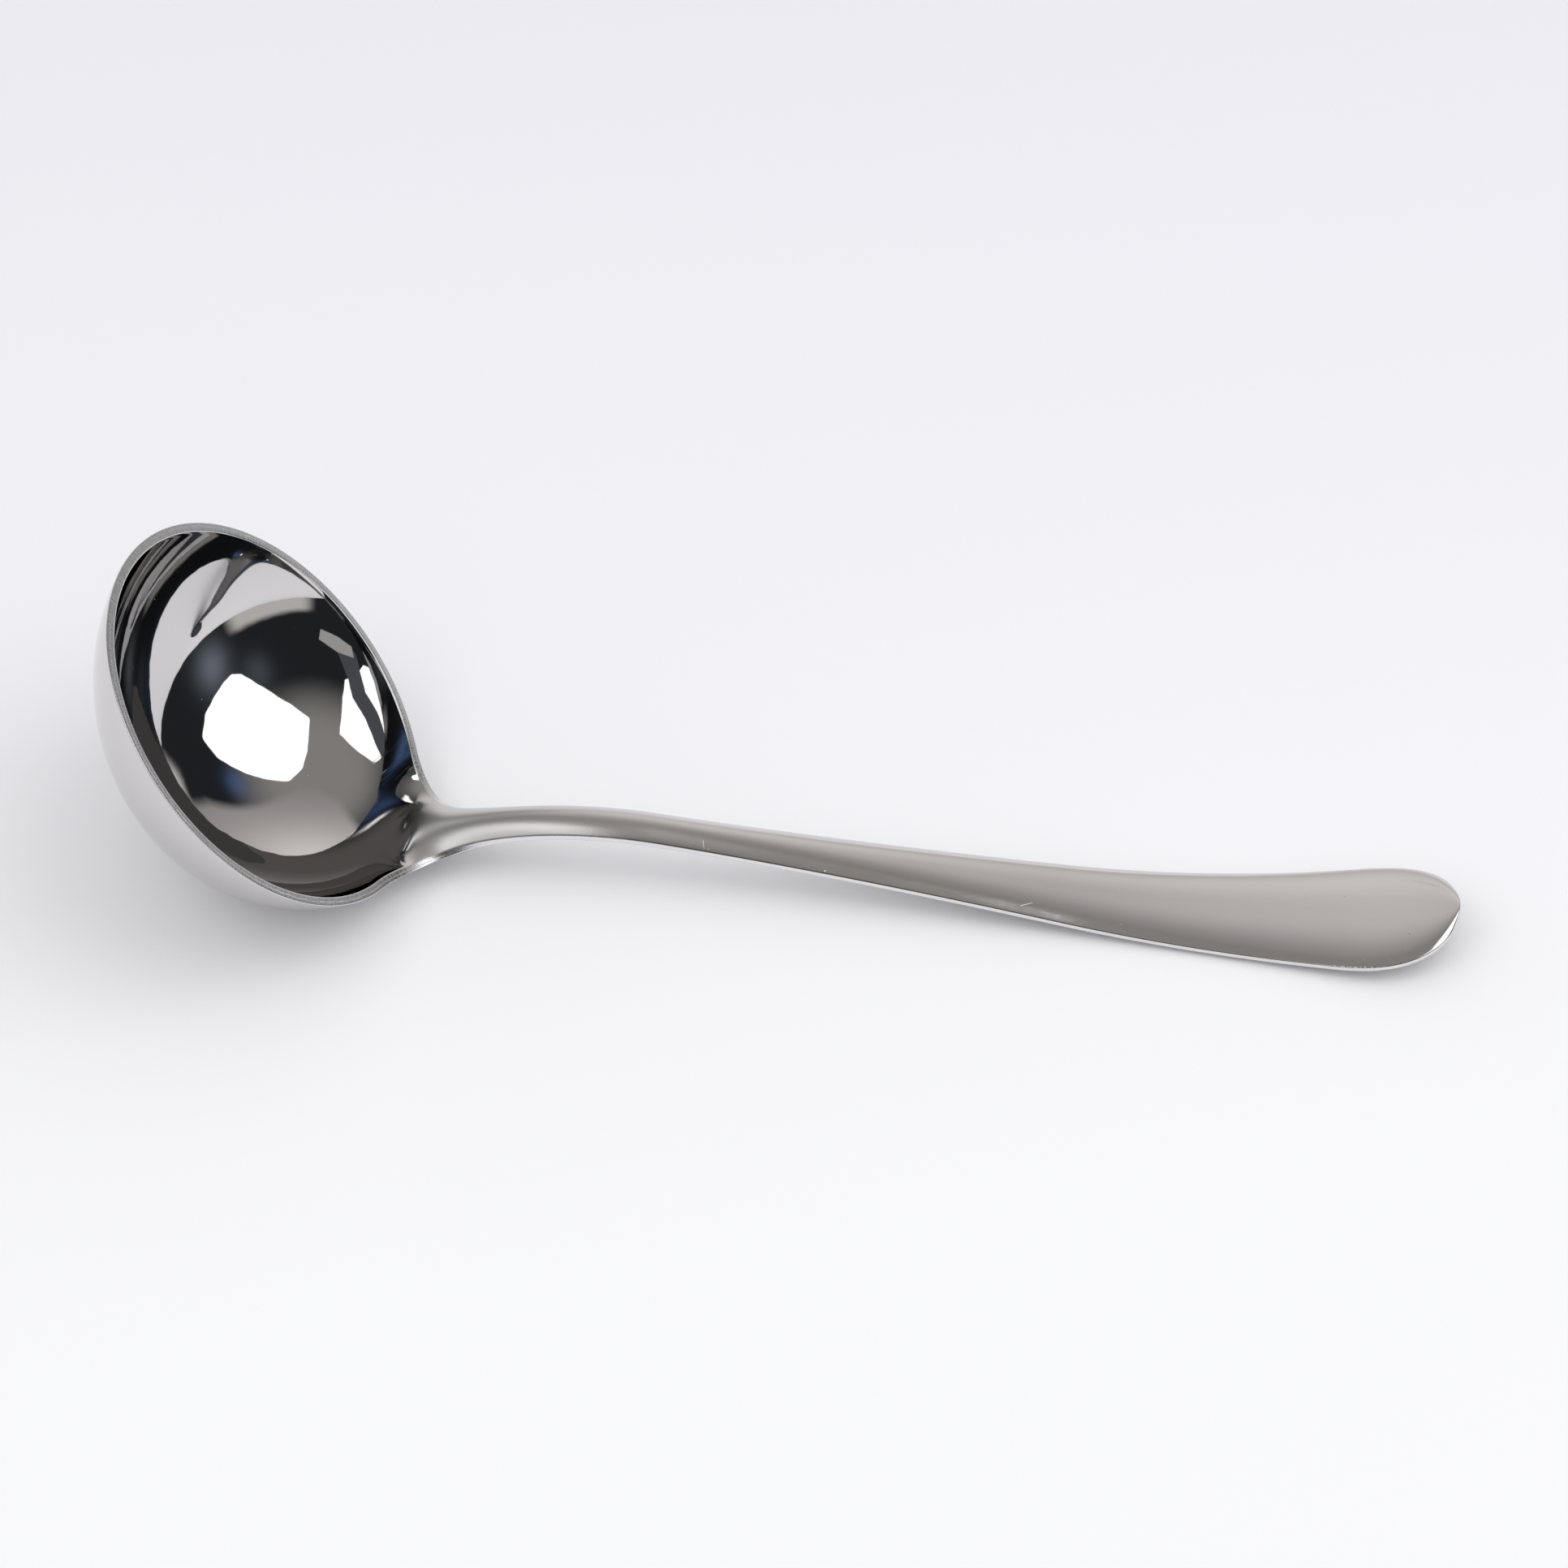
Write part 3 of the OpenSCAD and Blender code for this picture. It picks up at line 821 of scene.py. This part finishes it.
# %% The dome
ROOM_RADIUS = 1.6
dome = bpy.data.meshes.new("room")
shape = bmesh.new()
bmesh.ops.create_uvsphere(shape, u_segments=48, v_segments=24, radius=ROOM_RADIUS)
bmesh.ops.reverse_faces(shape, faces=shape.faces)
shape.to_mesh(dome)
shape.free()
room = glowing("room", room_paint)
staged("room", dome, room)
print("The room is painted by", len(room.node_tree.nodes), "nodes")

# %% [markdown]
# ## The table
# The table is matt and almost white, and a little greyer and bluer towards the back. The bowl's
# outside shows hardly anything else, so the paleness of the ladle's left side comes from here.

# %% Table
NEAR_TABLE, FAR_TABLE = (0.95, 0.95, 0.96, 1), (0.86, 0.855, 0.89, 1)
HALF_TABLE = 3
ends = (-HALF_TABLE, HALF_TABLE)
floor = bpy.data.objects.new("table", bpy.data.meshes.new("table"))
floor.data.from_pydata([(x, y, 0) for y in ends for x in ends], [], [(0, 1, 3, 2)])
bpy.context.scene.collection.objects.link(floor)
paint = bpy.data.materials.new("table_top")
paint.use_nodes = True
shader = paint.node_tree.nodes["Principled BSDF"]
shader.inputs["Roughness"].default_value = 0.9
shader.inputs["Specular IOR Level"].default_value = 0.1
where = add_node(paint.node_tree, "ShaderNodeTexCoord", None, None, "Object")
tone = blend(NEAR_TABLE, FAR_TABLE, ease(part(where, 1), -0.12, 0.25))
paint.node_tree.links.new(tone.socket, shader.inputs["Base Color"])
floor.data.materials.append(paint)
print("The table is", floor.dimensions.x, "m wide")

# %% [markdown]
# ## The air
# The world lights the table evenly from all sides, as a white room does. To the camera and in
# reflections it's a slightly paler background, for a view past the table's edge.

# %% World
ROOM_LIGHT, BEYOND = (0.79, 0.79, 0.81, 1), (0.9, 0.9, 0.92, 1)
world = bpy.data.worlds.new("studio")
world.use_nodes = True
tree = world.node_tree
seen = add_node(tree, "ShaderNodeLightPath", None, None, "Is Camera Ray")
seen = seen + add_node(tree, "ShaderNodeLightPath", None, None, "Is Glossy Ray")
seen = smaller(seen + add_node(tree, "ShaderNodeLightPath", None, None, "Is Transmission Ray"), 1)
air = blend(ROOM_LIGHT, BEYOND, seen)
tree.links.new(air.socket, tree.nodes["Background"].inputs["Color"])
bpy.context.scene.world = world
print("The world has", len(tree.nodes), "nodes")
